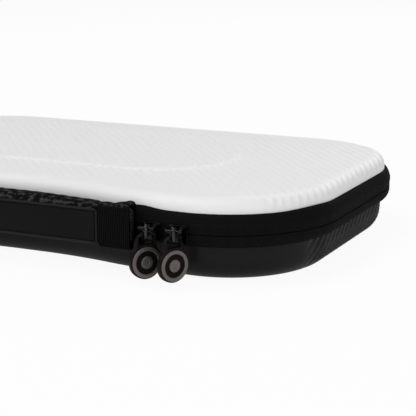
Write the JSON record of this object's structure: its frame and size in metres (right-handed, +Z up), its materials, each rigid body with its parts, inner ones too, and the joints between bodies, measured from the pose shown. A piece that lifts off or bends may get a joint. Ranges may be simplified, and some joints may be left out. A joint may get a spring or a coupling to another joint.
{
  "type": "stethoscope hard case",
  "caption": "Zipped hard case for a stethoscope, with moulded foam shells, a hinged lid, a shaped foam cradle, a net pocket and a front carry handle.",
  "frame": {"origin": "centre of the flat face that the closed case rests on, midway along its length and between the straight back and the widest part of the front", "axes": "+X along the case, +Y from the front with the handle towards the hinge at the back, +Z up through the lid"},
  "size_m": [0.2962, 0.1928, 0.0401],
  "materials": {
    "shell_black": "satin black textured laminate over moulded foam",
    "shell_white": "satin white ribbed laminate over moulded foam",
    "lining_grey": "brushed dark grey lining",
    "binding_black": "woven black edge binding",
    "cradle_foam": "flocked grey foam",
    "elastic_black": "woven black elastic",
    "zip_tape_black": "fine woven black tape",
    "coil_nylon": "black nylon coil",
    "stop_metal": "black enamelled stop",
    "hinge_fabric": "black woven hinge strip",
    "handle_fabric": "flecked black woven sleeve",
    "handle_foam": "soft foam core",
    "grip_rubber": "satin black moulded rubber",
    "webbing_black": "ribbed black webbing",
    "net_black": "black mesh",
    "slider_metal": "glossy black enamel",
    "link_metal": "glossy black enamel",
    "pull_rubber": "satin black rubber",
    "badge_metal": "satin grey-brown metal"
  },
  "bodies": {
    "base": {"base_shell": "shell_black", "base_lining": "lining_grey", "rim_binding_lower": "binding_black", "cradle_base": "cradle_foam", "cradle_insert": "cradle_foam", "retaining_band": "elastic_black", "zip_tape_lower": "zip_tape_black", "zip_coil_lower": "coil_nylon", "zip_stop_right": "stop_metal", "zip_stop_left": "stop_metal", "hinge_strip_lower": "hinge_fabric", "handle_sleeve": "handle_fabric", "handle_core": "handle_foam", "grip_patch": "grip_rubber", "anchor_loop_right": "webbing_black", "anchor_loop_left": "webbing_black"},
    "lid": {"lid_shell": "shell_white", "lid_lining": "lining_grey", "rim_binding_upper": "binding_black", "zip_tape_upper": "zip_tape_black", "zip_coil_upper": "coil_nylon", "hinge_strip_upper": "hinge_fabric", "pocket_net": "net_black", "pocket_binding": "elastic_black", "pocket_edge_tape": "binding_black"},
    "slider_right": {"slider_right": "slider_metal"},
    "link_right": {"link_right": "link_metal"},
    "pull_right": {"pull_right": "pull_rubber", "badge_right": "badge_metal"},
    "slider_left": {"slider_left": "slider_metal"},
    "link_left": {"link_left": "link_metal"},
    "pull_left": {"pull_left": "pull_rubber", "badge_left": "badge_metal"}
  },
  "joints": [
    {"name": "lid_hinge", "type": "hinge", "parent": "base", "child": "lid", "pos_m": [0, 0.0894, 0.0233], "axis": [-1, 0, 0], "range_deg": [0, 180]},
    {"name": "slider_right_travel", "type": "hinge", "parent": "base", "child": "slider_right", "pos_m": [0.093, -0.0335, 0.0233], "axis": [0, 0, 1], "range_deg": [0, 90]},
    {"name": "slider_left_slide", "type": "slide", "parent": "base", "child": "slider_left", "axis": [0.9998, -0.021, 0], "range_m": [-0.003, 0.004]},
    {"name": "link_right_swing", "type": "hinge", "parent": "slider_right", "child": "link_right", "pos_m": [0.093, -0.0957, 0.0258], "axis": [-1, 0, 0], "range_deg": [0, 120]},
    {"name": "link_left_swing", "type": "hinge", "parent": "slider_left", "child": "link_left", "pos_m": [0.07919, -0.09565, 0.0258], "axis": [-0.9998, 0.021, 0], "range_deg": [0, 120]},
    {"name": "pull_right_swing", "type": "hinge", "parent": "link_right", "child": "pull_right", "pos_m": [0.093, -0.0957, 0.0217], "axis": [0.6018, -0.7986, 0], "range_deg": [-25, 10]},
    {"name": "pull_left_swing", "type": "hinge", "parent": "link_left", "child": "pull_left", "pos_m": [0.07919, -0.09565, 0.0217], "axis": [0.5849, -0.8111, 0], "range_deg": [-25, 10]}
  ]
}
